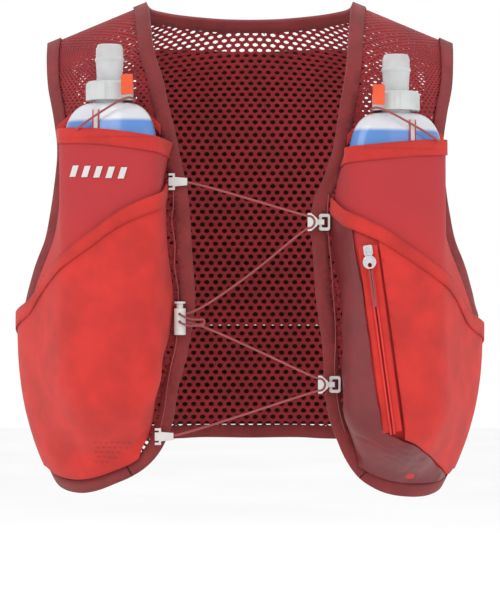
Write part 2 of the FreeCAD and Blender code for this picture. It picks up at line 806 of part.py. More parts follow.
def zipper_slider():
    """Two plates either side of the coils, joined by a post in the gap between them."""
    above = ZIP_TAPE_THICKNESS / 2 + ZIP_COIL_THICKNESS + 0.35
    below = -ZIP_TAPE_THICKNESS / 2 - 0.35
    top = box((SLIDER_LENGTH, SLIDER_WIDTH, 1.2), Vector(0, 0, above + 0.6))
    top = rounded(top, 1.6, [e for e in top.Edges if abs(e.tangentAt(e.FirstParameter).z) > 0.9])
    bottom = box((SLIDER_LENGTH, SLIDER_WIDTH, 0.9), Vector(0, 0, below - 0.45))
    bottom = rounded(bottom, 1.6, [e for e in bottom.Edges if abs(e.tangentAt(e.FirstParameter).z) > 0.9])
    post = box((5.0, ZIP_COIL_GAP - 0.4, above - below + 0.4), Vector(-1.0, 0, (above + below) / 2))
    body = top.fuse([bottom, post])
    bridge = box((5.4, 2.4, 3.6), Vector(0, 0, above + 1.2 + 1.8))
    eye = Part.makeCylinder(1.0, 10, Vector(0, -5, above + 1.2 + 1.9), Vector(0, 1, 0))
    body = body.fuse(bridge.cut(eye)).removeSplitter()
    return on_zipper(body)


def pull_axis_height():
    return ZIP_TAPE_THICKNESS / 2 + ZIP_COIL_THICKNESS + 0.35 + 1.2 + 1.9


def zipper_pull():
    """Round metal pull: a yoke round the slider's bridge with a domed ring below it."""
    height = pull_axis_height()
    pin = Part.makeCylinder(0.9, 6.0, Vector(0, -3.0, height), Vector(0, 1, 0))
    cheeks = [box((7.6, 1.3, 1.8), Vector(3.0, way * 2.35, height)) for way in (-1, 1)]
    ring = Part.makeCylinder(6.0, 1.6, Vector(10.6, 0, height - 0.8), Vector(0, 0, 1))
    ring = ring.makeFillet(0.5, [e for e in ring.Edges if e.Curve.TypeId == "Part::GeomCircle"])
    hole = Part.makeCylinder(2.0, 6.0, Vector(13.2, 0, height - 3), Vector(0, 0, 1))
    pull = ring.cut(hole).fuse([pin] + cheeks).removeSplitter()
    return on_zipper(pull)


PULL_BOW_END = 17.95
PULL_BOW_RADIUS = 2.05


def zipper_pull_cord():
    """Short cord loop that hangs from the pull, as one closed loop with a knot."""
    height = pull_axis_height()
    reach = 30.0
    runs = []
    for way in (-1, 1):
        start = Vector(PULL_BOW_END, way * 0.9, height)
        end = Vector(PULL_BOW_END + reach, way * 0.9, height)
        runs.append(rod(start, end, 0.8))
    knot = Part.makeSphere(2.3, Vector(PULL_BOW_END + reach + 1.2, 0, height))
    bow = Part.makeTorus(PULL_BOW_RADIUS, 0.8, Vector(PULL_BOW_END - PULL_BOW_RADIUS, 0, height),
                         Vector(0, 1, 0))
    loop = runs[0].fuse([runs[1], knot, bow]).removeSplitter()
    return on_zipper(loop)


# ---------------------------------------------------------------- flasks

def flask_centre(side):
    return Vector(side["flask_x"] * side["sign"], FLASK_Y, side["flask_top"])


def flask_ring(side, half_width_mm, half_depth_mm, z):
    ellipse = Part.Ellipse(Vector(0, 0, 0), half_width_mm, half_depth_mm).toShape()
    ellipse.rotate(Vector(0, 0, 0), Vector(0, 0, 1), side["sign"] * FLASK_YAW)
    ellipse.translate(Vector(side["flask_x"] * side["sign"], FLASK_Y, z))
    return Part.Wire(ellipse)


def flask_body(side):
    top = side["flask_top"]
    bottom = top - FLASK_BODY_LENGTH
    full = top - FLASK_SHOULDER
    wide, deep = FLASK_HALF_WIDTH, FLASK_HALF_DEPTH
    rings = [(22.0, 13.6, top), (36.0, 16.0, top - 9), (wide, deep, full), (wide, deep, full - 60),
             (wide, deep, bottom + 70), (wide - 1.5, deep - 3, bottom + 30), (wide - 5, deep - 9, bottom + 8),
             (wide - 9, 5.0, bottom)]
    body = Part.makeLoft([flask_ring(side, *ring) for ring in rings], True, False)
    neck = Part.makeCylinder(NECK_RADIUS, NECK_HEIGHT + 0.5, flask_centre(side) - Vector(0, 0, 0.5))
    return body.fuse(neck).removeSplitter()


def flask_seal(side):
    base = flask_centre(side) + Vector(0, 0, NECK_HEIGHT + 0.05)
    return Part.makeCylinder(NECK_RADIUS - 0.5, 1.5, base).cut(Part.makeCylinder(5.0, 1.5, base))


def flask_cap(side):
    """Screw cap: ribbed collar over the neck, with the hollow stem that the bite valve slides on."""
    base = flask_centre(side) + Vector(0, 0, 2.6)
    collar = Part.makeCylinder(CAP_RADIUS, CAP_HEIGHT, base)
    collar = collar.makeChamfer(2.4, [e for e in collar.Edges if e.Curve.TypeId == "Part::GeomCircle"
                                      and e.CenterOfMass.z > base.z + 1])
    bore = Part.makeCylinder(NECK_RADIUS + 0.3, NECK_HEIGHT - 2.6 + 1.75, base)
    stem = Part.makeCylinder(STEM_RADIUS, STEM_HEIGHT, base + Vector(0, 0, CAP_HEIGHT - 0.01))
    duct = Part.makeCylinder(4.0, STEM_HEIGHT + CAP_HEIGHT, base)
    cap = collar.fuse(stem).cut(bore.fuse(duct))
    notches = []
    for k in range(6):
        turn = math.radians(60 * k + 30)
        place = base + Vector(math.cos(turn), math.sin(turn), 0) * (CAP_RADIUS + 2.6) + Vector(0, 0, -1)
        notches.append(Part.makeCylinder(4.2, CAP_HEIGHT + 2, place))
    return cap.cut(notches).removeSplitter()


def bite_valve(side):
    """Silicone valve: a ribbed sleeve over the stem, closed by a domed top with a slit."""
    base = flask_centre(side) + Vector(0, 0, 2.6 + CAP_HEIGHT + 0.3)
    profile = [(STEM_RADIUS + 0.25, 0), (11.3, 0), (12.0, 12), (12.4, 17), (13.2, 18.5), (13.2, 20.0),
               (12.3, 21.5), (12.2, 29), (10.6, VALVE_HEIGHT), (0, VALVE_HEIGHT), (0, STEM_HEIGHT + 5),
               (STEM_RADIUS + 0.25, STEM_HEIGHT + 5), (STEM_RADIUS + 0.25, 0)]
    outline = Part.makePolygon([Vector(r, 0, z) for r, z in profile])
    solid = Part.Face(outline).revolve(Vector(0, 0, 0), Vector(0, 0, 1), 360)
    solid.translate(base)
    slit = box((9.0, 0.5, 7.0), base + Vector(0, 0, VALVE_HEIGHT - 2.5))
    return solid.cut(slit)


def flask_strap(side):
    """Elastic band across the shoulder mesh, behind the flask's neck."""
    top = side["flask_top"] + 4
    inner_x = 87 if side["sign"] > 0 else 80

    def place(t, across, out):
        x = inner_x + (174 - inner_x) * t
        z = top - 22 * abs(2 * t - 1) ** 2.2 - across
        over_bindings = 1.5 * min(1.0, 1.3 * abs(2 * t - 1)) ** 3
        return at_height(angle_of(x, z), z, out + over_bindings, side["sign"])

    return tape(place, flat_section(9.0, (3.0, 4.0)), 20)


# Tab of the retaining loop, from the flask's axis and from the foot of its neck
TAB_OFFSET = Vector(17.0, -26.5, 0)
TAB_BOTTOM = 6.0


def loop_anchor(side):
    """Point at the pocket's mouth where the retaining loop starts."""
    share = share_at(side, "flask", side["loop_x"], -130.0)
    return pocket_point(side, "flask", share, mouth_height(side, share) - 2, 4.6)


def loop_points(side):
    """Route of the retaining cord: from the pocket's mouth, under the tab and round behind the neck."""
    sign = side["sign"]
    centre = flask_centre(side)
    anchor = loop_anchor(side)
    foot = centre + Vector(-sign * TAB_OFFSET.x, TAB_OFFSET.y, TAB_BOTTOM - 1.3)
    radius = NECK_RADIUS + 2.3
    under_collar = 1.3
    return [anchor, anchor + Vector(-sign * 6, -2.5, 4.5), (anchor + foot) * 0.5 + Vector(0, -3.0, 1.0), foot,
            centre + Vector(-sign * 25.0, -15.5, 2.4), centre + Vector(-sign * 20.4, -4.0, under_collar),
            centre + Vector(-sign * 8.0, radius - 0.5, under_collar),
            centre + Vector(sign * 6.0, radius, under_collar)]


def flask_loop(side, name):
    return cord(name, loop_points(side), CORD_DIAMETER)


def flask_loop_tab(side):
    """Bright webbing tab sewn on the loop, to pull it off the flask."""
    sign = side["sign"]
    centre = flask_centre(side)
    tab = box((11.0, 2.4, 18.0), Vector(0, 0, 0))
    tab = rounded(tab, 0.9)
    tab.rotate(Vector(0, 0, 0), Vector(0, 0, 1), sign * 17)
    tab.translate(centre + Vector(-sign * TAB_OFFSET.x, TAB_OFFSET.y, TAB_BOTTOM + 9.0))
    return tab


# ---------------------------------------------------------------- chest fastening

# Places on the front of the chest, (x, y, z)
CLIP_UPPER = Vector(-66.0, -110.2, -176.5)
CLIP_LOWER = Vector(-78.5, -108.6, -406.0)
RING_UPPER = Vector(64.0, -110.4, -213.0)
RING_LOWER = Vector(73.4, -110.0, -359.0)
LOCK_CENTRE = Vector(-63.0, -114.2, -302.4)
LOCK_RADIUS = 5.3
LOCK_HEIGHT = 24.0
LOCK_HOLES = (6.8, -0.2)
LOCK_WALL = 2.1
RING_BAR = 1.3
HOOK_TURN = 5.6
HOOK_GROOVE = Vector(-11.0, -4.4, 0)


def chest_clip(place, route):
    """Flat clip on the wearer's right edge: a forked base and a tapered nose for the cord's end."""
    base = box((5.6, 3.2, 15.0), Vector(-4.4, 0, 0))
    for z in (-4.6, 4.6):
        base = base.cut(box((4.0, 4.0, 1.8), Vector(-5.6, 0, z)))
    points = [Vector(-2.0, 0, -4.2), Vector(9.5, 0, -3.2), Vector(9.5, 0, 3.2), Vector(-2.0, 0, 4.2)]
    nose = Part.Face(Part.makePolygon(points + points[:1])).extrude(Vector(0, 3.0, 0))
    nose.translate(Vector(0, -1.5, 0))
    clip = base.fuse(nose).removeSplitter()
    clip.translate(place)
    return clip.cut(cord_way(route))


def chest_ring(place):
    """C-shaped ring on the wearer's left edge, with the upright bar that a hook clasps."""
    frame = box((10.0, 2.8, 15.0), Vector(3.0, 0, 0))
    frame = rounded(frame, 2.2, [e for e in frame.Edges if abs(e.tangentAt(e.FirstParameter).y) > 0.9])
    window = box((5.6, 5.0, 9.6), Vector(3.4, 0, 0))
    window = rounded(window, 1.2, [e for e in window.Edges if abs(e.tangentAt(e.FirstParameter).y) > 0.9])
    side_cut = box((3.2, 5.0, 9.6), Vector(-1.5, 0, 0))
    bar = Part.makeCylinder(RING_BAR, 10.4, Vector(-0.5, 0, -5.2))
    ring = frame.cut([window, side_cut]).fuse(bar).removeSplitter()
    ring.translate(place)
    return ring


def chest_hook(place, route):
    """Hook that clasps a ring's bar, with a wedge-shaped head that the cord runs round."""
    points = [Vector(-12.2, 0, -8.0), Vector(-9.0, 0, -8.0), Vector(-3.4, 0, -3.0), Vector(-3.4, 0, 3.0),
              Vector(-9.0, 0, 8.0), Vector(-12.2, 0, 8.0)]
    head = Part.Face(Part.makePolygon(points + points[:1])).extrude(Vector(0, 3.0, 0))
    head.translate(Vector(0, -5.2, 0))
    stem = box((6.6, 2.0, 4.6), Vector(-0.6, -3.1, 0))
    claw = box((1.6, 5.0, 4.6), Vector(1.9, -1.6, 0))
    hook = head.fuse([stem, claw]).removeSplitter()
    hook.translate(place)
    return hook.cut(cord_way(route))


def cord_lock_barrel():
    """Barrel of the cord lock, with two side holes for the cord and two front holes for its loop."""
    barrel = Part.makeCylinder(LOCK_RADIUS, LOCK_HEIGHT, LOCK_CENTRE - Vector(0, 0, LOCK_HEIGHT / 2))
    barrel = barrel.makeFillet(0.8, [e for e in barrel.Edges if e.Curve.TypeId == "Part::GeomCircle"])
    well = Part.makeCylinder(LOCK_RADIUS - LOCK_WALL, LOCK_HEIGHT, LOCK_CENTRE + Vector(0, 0, 3 - LOCK_HEIGHT / 2))
    holes = []
    for z in LOCK_HOLES:
        start = LOCK_CENTRE + Vector(0, 0, z)
        holes.append(Part.makeCylinder(1.3, 8.0, start, Vector(0, -1, 0)))
        holes.append(Part.makeCylinder(1.3, 8.0, start, Vector(1, 0, 0)))
    return barrel.cut([well] + holes)


def cord_lock_button():
    """Sprung plunger: its head stands above the barrel and its slots let the cord through."""
    top = LOCK_CENTRE + Vector(0, 0, LOCK_HEIGHT / 2)
    stem = Part.makeCylinder(LOCK_RADIUS - LOCK_WALL - 0.25, 18.7, top - Vector(0, 0, 14.5))
    head = Part.makeCylinder(5.0, 1.9, top + Vector(0, 0, 4.1))
    head = head.makeFillet(0.5, [e for e in head.Edges if e.Curve.TypeId == "Part::GeomCircle"])
    slots = []
    for z in LOCK_HOLES:
        middle = LOCK_CENTRE + Vector(0, 0, z + 0.7)
        slots.append(box((4.0, 2.6, 3.4), middle + Vector(1.8, 0, 0)))
        slots.append(box((2.6, 4.0, 3.4), middle + Vector(0, -1.8, 0)))
    return stem.fuse(head).cut(slots).removeSplitter()


def cord_lock_spring():
    """Coil spring under the plunger."""
    low = LOCK_CENTRE.z - LOCK_HEIGHT / 2 + 3.2
    high = LOCK_CENTRE.z + LOCK_HEIGHT / 2 - 14.7
    wire, turns = 0.35, 4
    pitch = (high - low - 2 * wire) / turns
    around = [math.radians(30 * k) for k in range(13)]
    section = Part.makePolygon([Vector(2.2 + wire * math.cos(a), 0, wire * math.sin(a)) for a in around])
    spring = Part.Wire(Part.makeHelix(pitch, pitch * turns, 2.2)).makePipeShell([section], True, True)
    spring.translate(Vector(LOCK_CENTRE.x, LOCK_CENTRE.y, low + wire))
    return spring


def hook_wrap(place):
    """Points that lead a cord round a hook's groove, from above to below it."""
    centre = place + HOOK_GROOVE
    return [centre + Vector(-3.0, 0, HOOK_TURN), centre + Vector(3.0, 0, HOOK_TURN - 0.4),
            centre + Vector(HOOK_TURN, 0, 0), centre + Vector(3.0, 0, 0.4 - HOOK_TURN),
            centre + Vector(-3.0, 0, -HOOK_TURN)]


def lock_entry(z):
    """Last points of a cord that enters a side hole of the lock, from outside to inside."""
    hole = LOCK_CENTRE + Vector(LOCK_RADIUS, 0, z)
    return [hole + Vector(7.0, -0.1, 0), hole + Vector(-LOCK_WALL + 0.3, 0, 0)]


def upper_cord_points():
    hole = LOCK_CENTRE + Vector(LOCK_RADIUS, 0, LOCK_HOLES[0])
    return [CLIP_UPPER + Vector(5.0, 0, 0), CLIP_UPPER + Vector(14.0, -0.4, -0.8),
            CLIP_UPPER + Vector(60.0, -2.4, -14.0), *hook_wrap(RING_UPPER),
            hole + Vector(60.0, -1.0, 36.5), *lock_entry(LOCK_HOLES[0])]


def lower_cord_points():
    hole = LOCK_CENTRE + Vector(LOCK_RADIUS, 0, LOCK_HOLES[1])
    return [CLIP_LOWER + Vector(5.0, 0, 0), CLIP_LOWER + Vector(14.0, -0.4, 1.0),
            CLIP_LOWER + Vector(72.0, -3.2, 19.5), *reversed(hook_wrap(RING_LOWER)),
            hole + Vector(64.0, -1.5, -25.5), *lock_entry(LOCK_HOLES[1])]


def slack_loop_points():
    """Pull loop of cord out of the lock's two front holes."""
    upper = LOCK_CENTRE + Vector(0, -LOCK_RADIUS, LOCK_HOLES[0])
    lower = LOCK_CENTRE + Vector(0, -LOCK_RADIUS, LOCK_HOLES[1])
    return [upper + Vector(0, 1.8, 0), upper + Vector(0, -3.2, -0.2), upper + Vector(8.0, -3.4, -4.4),
            upper + Vector(16.0, -1.8, -5.2), upper + Vector(22.0, -1.2, -4.4),
            lower + Vector(22.5, -1.2, -1.6), lower + Vector(16.0, -1.8, -3.4),
            lower + Vector(8.0, -3.2, -3.6), lower + Vector(0, -3.2, -0.6), lower + Vector(0, 1.8, 0)]


def rail_points(side):
    """Thin cord that carries the chest clips down the mesh strip beside the opening."""
    if side["sign"] < 0:
        outline = [(71, -172), (68, -192), (71.5, -212), (67, -232), (69, -252), (64.5, -272), (64.5, -290),
                   (66, -322), (71.5, -342), (75, -362), (77, -384), (82, -402)]
    else:
        outline = [(71, -188), (69, -208), (71, -228), (73.5, -252), (75, -276), (77, -300), (77.5, -322),
                   (76, -344), (78, -366), (81, -386), (86, -402)]
    return [at_height(angle_of(x, z), z, 4.7, side["sign"]) for x, z in outline]


# ---------------------------------------------------------------- back pockets

def back_point(x, z, out):
    return at_height(angle_of(abs(x), z, front=False), z, out, 1 if x >= 0 else -1)


def back_pouch(half_top, half_bottom, top, bottom, depth, mouth):
    """Stretch pouch on the back: sewn at its sides and bottom, standing open at its mouth."""
    def place(u, v, out):
        share = 2 * u - 1
        z = bottom + (top - bottom) * v
        half = half_bottom + (half_top - half_bottom) * v
        swell = (1 - abs(share) ** 3) * depth * (1 - (1 - min(1.0, v / 0.3)) ** 2)
        swell = swell * (1 - (1 - mouth) * max(0.0, v - 0.5) * 2)
        return back_point(share * half, z, 3.4 + swell + out)

    return panel(place, 0.0, 1.2, across=21, along=14)


def back_pouch_hem(half_top, top, depth, mouth):
    """Binding along the pouch's mouth."""
    def place(t, across, out):
        share = 2 * t - 1
        swell = (1 - abs(share) ** 3) * depth * mouth
        return back_point(share * (half_top - 0.5), top - across, 3.4 + swell + out)

    return tape(place, flat_section(10.0, (1.6, 2.4)), 24)


WAIST_POUCH_BOTTOM = -407.0
WAIST_POUCH_TOP = -308.5


def waist_pouch():
    """Low stretch pouch across the back, sewn at its sides and bottom and open along its top."""
    def place(u, v, out):
        share = 2 * u - 1
        z = WAIST_POUCH_BOTTOM + (WAIST_POUCH_TOP - WAIST_POUCH_BOTTOM) * v
        swell = 9.5 * (1 - abs(share) ** 5) * (1 - (1 - v) ** 3)
        return back_point(share * 118, z, 3.4 + swell + out)

    return panel(place, 0.0, 1.2, across=17, along=14)


LOOP_HEIGHT = -22.0


def hang_loop():
    """Webbing loop at the back of the neck."""
    start = back_point(-14, LOOP_HEIGHT, 4.4)
    end = back_point(14, LOOP_HEIGHT, 4.4)
    middle = (start + end) * 0.5 + Vector(0, 13.0, 10.0)
    lines = []
    for across, out in ((-4, 0), (4, 0), (4, 1.2), (-4, 1.2)):
        shift = Vector(0, out, across)
        lines.append(Part.Arc(start + shift, middle + shift, end + shift).toShape())
    faces = [ruled(lines[k], lines[(k + 1) % 4]) for k in range(4)]
    for parameter in ("FirstParameter", "LastParameter"):
        corners = [line.valueAt(getattr(line, parameter)) for line in lines]
        faces.append(ruled(Part.makeLine(corners[0], corners[1]), Part.makeLine(corners[3], corners[2])))
    return closed_solid(faces)


BACK_POUCH = {"half_top": 112.0, "half_bottom": 104.0, "top": -42.0, "bottom": -306.0, "depth": 18.0,
              "mouth": 0.62}


# ---------------------------------------------------------------- all nodes

def both(name, make):
    return {f"{name}_{key}": make(side) for key, side in SIDES.items()}


TRIMS = [("armhole_binding_left", ["back_panel", "front_panel_left", "side_panel_left"]),
         ("armhole_binding_right", ["back_panel", "front_panel_right", "side_panel_right"]),
         ("front_panel_left", ["back_panel", "side_panel_left"]),
         ("front_panel_right", ["back_panel", "side_panel_right"]),
         ("flask_pocket_left", ["flask_strap_left", "zip_pocket_panel"]),
         ("flask_pocket_right", ["flask_strap_right"])]


def trimmed(cloth, neighbour):
    """Largest solid left of a cloth once the piece that it is sewn to is taken out of it."""
    left = cloth.cut(neighbour)
    return max(left.Solids, key=lambda solid: solid.Volume)


def all_nodes():
    nodes = {"back_panel": back_panel(), "neck_binding": binding(stretch(neckline(), 0.001, 0.999), 1, 40),
             "hem_binding_back": binding(back_hem(), -1, 40)}
    for name, make in (("front_panel", front_panel), ("side_panel", side_panel),
                       ("front_binding", front_binding), ("hem_binding", hem_binding),
                       ("armhole_binding", armhole_binding), ("flask_pocket", flask_pocket),
                       ("flask_pocket_hem", flask_pocket_hem), ("stretch_pocket", stretch_pocket),
                       ("stretch_pocket_hem", stretch_pocket_hem), ("flask_body", flask_body),
                       ("flask_seal", flask_seal), ("flask_cap", flask_cap), ("bite_valve", bite_valve),
                       ("flask_strap", flask_strap), ("flask_loop_tab", flask_loop_tab)):
        nodes.update(both(name, make))
    for key, side in SIDES.items():
        nodes[f"flask_loop_{key}"] = flask_loop(side, f"flask_loop_{key}")
    rails = [cord(f"rail cord, {key}", rail_points(side), 1.2) for key, side in SIDES.items()]
    nodes["rail_cords"] = Part.makeCompound(rails)
    nodes["zip_pocket_panel"] = zip_pocket_panel(SIDES["left"])
    for name, way in (("inner", -1), ("outer", 1)):
        nodes[f"zipper_tape_{name}"], nodes[f"zipper_coil_{name}"] = zipper_tape(way)
    nodes["zipper_slider"] = zipper_slider()
    nodes["zipper_pull"] = zipper_pull()
    nodes["zipper_pull_cord"] = zipper_pull_cord()
    nodes["chest_clip_upper"] = chest_clip(CLIP_UPPER, upper_cord_points())
    nodes["chest_clip_lower"] = chest_clip(CLIP_LOWER, lower_cord_points())
    nodes["chest_rings"] = Part.makeCompound([chest_ring(RING_UPPER), chest_ring(RING_LOWER)])
    nodes["chest_hook_upper"] = chest_hook(RING_UPPER, upper_cord_points())
    nodes["chest_hook_lower"] = chest_hook(RING_LOWER, lower_cord_points())
    nodes["cord_lock_barrel"] = cord_lock_barrel()
    nodes["cord_lock_button"] = cord_lock_button()
    nodes["cord_lock_spring"] = cord_lock_spring()
    nodes["chest_cord_upper"] = cord("chest_cord_upper", upper_cord_points(), CORD_DIAMETER)
    nodes["chest_cord_lower"] = cord("chest_cord_lower", lower_cord_points(), CORD_DIAMETER)
    nodes["slack_loop"] = cord("slack_loop", slack_loop_points(), CORD_DIAMETER)
    nodes["back_pocket"] = back_pouch(**BACK_POUCH)
    nodes["back_pocket_hem"] = back_pouch_hem(BACK_POUCH["half_top"], BACK_POUCH["top"], BACK_POUCH["depth"],
                                              BACK_POUCH["mouth"])
    nodes["waist_pocket"] = waist_pouch()
    nodes["hang_loop"] = hang_loop()
    for kept, cut_back in TRIMS:
        for name in cut_back:
            nodes[name] = trimmed(nodes[name], nodes[kept])
    return nodes


def main():
    os.makedirs("parts", exist_ok=True)
    nodes = all_nodes()
    for name, shape in sorted(nodes.items()):
        if not shape.isValid() or shape.Volume <= 0:
            print(f"{name} is not a sound solid: valid {shape.isValid()}, volume {shape.Volume:.1f}")
        shape.exportStep(f"parts/{name}.step")
    print(f"{len(nodes)} nodes written")


main()
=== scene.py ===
"""Looks of the running hydration vest: open mesh, stretch pockets, flasks, cords and hardware.

Metres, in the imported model's frame: +Z up, the wearer faces -Y, +X is the wearer's left.
"""
import json
import math

import bmesh
import bpy
from mathutils import Matrix, Vector, noise
from mathutils.bvhtree import BVHTree


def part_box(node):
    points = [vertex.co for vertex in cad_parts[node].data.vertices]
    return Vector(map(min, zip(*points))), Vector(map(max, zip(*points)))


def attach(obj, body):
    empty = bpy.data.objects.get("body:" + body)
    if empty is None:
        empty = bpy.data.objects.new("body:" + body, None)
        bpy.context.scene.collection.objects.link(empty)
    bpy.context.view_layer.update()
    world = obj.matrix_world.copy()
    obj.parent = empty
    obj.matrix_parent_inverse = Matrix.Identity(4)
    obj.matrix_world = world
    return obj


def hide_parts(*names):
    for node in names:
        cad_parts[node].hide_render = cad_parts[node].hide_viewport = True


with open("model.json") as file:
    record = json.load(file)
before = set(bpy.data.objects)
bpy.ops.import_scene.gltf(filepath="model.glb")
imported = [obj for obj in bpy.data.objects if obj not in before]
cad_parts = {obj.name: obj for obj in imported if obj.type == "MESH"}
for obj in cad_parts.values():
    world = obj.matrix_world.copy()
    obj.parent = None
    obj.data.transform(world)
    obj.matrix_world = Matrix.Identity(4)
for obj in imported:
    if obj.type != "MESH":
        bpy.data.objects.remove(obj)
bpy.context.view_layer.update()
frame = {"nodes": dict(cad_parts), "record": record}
NODES = frame["nodes"]
SIDES = ("left", "right")

# ---------------------------------------------------------------- colours (linear)

MESH_RED = (0.300, 0.012, 0.018)
BINDING_RED = (0.230, 0.024, 0.026)
POCKET_RED = (0.580, 0.024, 0.018)
CRIMSON = (0.440, 0.022, 0.028)
RIPSTOP_RED = (0.170, 0.010, 0.014)
ZIP_RED = (0.600, 0.022, 0.016)
# painted shade: a dark red cloth colour darkened much further, so the shaded inside of the vest seen through
# the mesh holes reads dark
BACK_SHADE_RED = (0.085, 0.004, 0.007)
CORD_RED = (0.330, 0.060, 0.062)
STITCH_RED = (0.300, 0.028, 0.028)
TAB_ORANGE = (0.780, 0.090, 0.028)
HARDWARE_GREY = (0.600, 0.600, 0.580)
CAP_GREY = (0.520, 0.540, 0.530)
FILM_WHITE = (0.780, 0.790, 0.840)
FILM_BLUE = (0.100, 0.280, 0.700)
SILICONE = (0.780, 0.790, 0.800)


# ---------------------------------------------------------------- materials

class Paint:
    """A node material: helpers add nodes and link them to one Principled shader."""

    def __init__(self, name, roughness, metallic=0.0):
        self.material = bpy.data.materials.new(name)
        self.material.use_nodes = True
        self.nodes = self.material.node_tree.nodes
        self.links = self.material.node_tree.links
        self.shader = self.nodes["Principled BSDF"]
        self.shader.inputs["Roughness"].default_value = roughness
        self.shader.inputs["Metallic"].default_value = metallic
        self.place = self.nodes.new("ShaderNodeTexCoord").outputs["Object"]

    def noise(self, scale, detail=3.0):
        node = self.nodes.new("ShaderNodeTexNoise")
        node.inputs["Scale"].default_value = scale
        node.inputs["Detail"].default_value = detail
        self.links.new(self.place, node.inputs["Vector"])
        return node.outputs["Fac"]

    def weave(self, scale, direction):
        node = self.nodes.new("ShaderNodeTexWave")
        node.bands_direction = direction
        node.inputs["Scale"].default_value = scale
        node.inputs["Distortion"].default_value = 0.6
        self.links.new(self.place, node.inputs["Vector"])
        return node.outputs["Fac"]

    def between(self, factor, first, second, low=0.35, high=0.65):
        ramp = self.nodes.new("ShaderNodeValToRGB")
        ramp.color_ramp.elements[0].position = low
        ramp.color_ramp.elements[1].position = high
        ramp.color_ramp.elements[0].color = (*first, 1)
        ramp.color_ramp.elements[1].color = (*second, 1)
        self.links.new(factor, ramp.inputs["Fac"])
        return ramp.outputs["Color"]

    def sum(self, a, b, operation="ADD"):
        node = self.nodes.new("ShaderNodeMath")
        node.operation = operation
        for value, socket in ((a, node.inputs[0]), (b, node.inputs[1])):
            if isinstance(value, (int, float)):
                socket.default_value = value
            else:
                self.links.new(value, socket)
        return node.outputs["Value"]

    def bump(self, height, strength, distance):
        node = self.nodes.new("ShaderNodeBump")
        node.inputs["Strength"].default_value = strength
        node.inputs["Distance"].default_value = distance
        self.links.new(height, node.inputs["Height"])
        self.links.new(node.outputs["Normal"], self.shader.inputs["Normal"])

    def colour(self, output):
        self.links.new(output, self.shader.inputs["Base Color"])


def shade(colour, factor):
    return tuple(c * factor for c in colour)


def fabric(name, colour, threads=1400.0, sheen=0.06, roughness=0.85):
    """Woven or knitted cloth: fine threads both ways, slow colour change and a soft sheen."""
    paint = Paint(name, roughness)
    paint.colour(paint.between(paint.noise(38.0), shade(colour, 0.86), shade(colour, 1.10)))
    threads_both_ways = paint.sum(paint.weave(threads, "X"), paint.weave(threads, "Z"))
    paint.bump(paint.sum(threads_both_ways, paint.noise(700.0)), 0.35, 0.0003)
    paint.shader.inputs["Sheen Weight"].default_value = sheen
    paint.shader.inputs["Sheen Roughness"].default_value = 0.5
    return paint.material


def plastic(name, colour, roughness, grain=900.0):
    paint = Paint(name, roughness)
    paint.colour(paint.between(paint.noise(60.0), shade(colour, 0.93), shade(colour, 1.05)))
    paint.bump(paint.noise(grain), 0.12, 0.0001)
    return paint.material


def metal(name, colour, roughness):
    paint = Paint(name, roughness, metallic=1.0)
    paint.colour(paint.between(paint.noise(120.0), shade(colour, 0.88), shade(colour, 1.05)))
    paint.bump(paint.weave(2500.0, "X"), 0.08, 0.00005)
    return paint.material


def flask_film(name, blue_top):
    """Flask film: whitish and translucent above, blue below blue_top."""
    paint = Paint(name, 0.22)
    split = paint.nodes.new("ShaderNodeSeparateXYZ")
    paint.links.new(paint.place, split.inputs["Vector"])
    above = paint.sum(paint.sum(split.outputs["Z"], -blue_top), 160.0, "MULTIPLY")
    ragged = paint.sum(above, paint.sum(paint.noise(26.0), 0.25, "MULTIPLY"))
    paint.colour(paint.between(ragged, FILM_BLUE, FILM_WHITE, 0.0, 0.5))
    paint.bump(paint.noise(55.0), 0.25, 0.0015)
    paint.shader.inputs["Transmission Weight"].default_value = 0.25
    paint.shader.inputs["Coat Weight"].default_value = 0.35
    return paint.material


def pocket_cloth(name):
    """Stretch cloth: bright red below, crimson in the pocket's upper part."""
    paint = Paint(name, 0.78)
    split = paint.nodes.new("ShaderNodeSeparateXYZ")
    paint.links.new(paint.place, split.inputs["Vector"])
    height = paint.sum(split.outputs["Z"], 1.0)
    cloudy = paint.sum(height, paint.sum(paint.noise(9.0), 0.05, "MULTIPLY"))
    paint.colour(paint.between(cloudy, POCKET_RED, CRIMSON, 0.735, 0.83))
    threads = paint.sum(paint.weave(1700.0, "X"), paint.weave(1700.0, "Z"))
    paint.bump(paint.sum(threads, paint.noise(60.0)), 0.3, 0.0003)
    paint.shader.inputs["Sheen Weight"].default_value = 0.05
    return paint.material


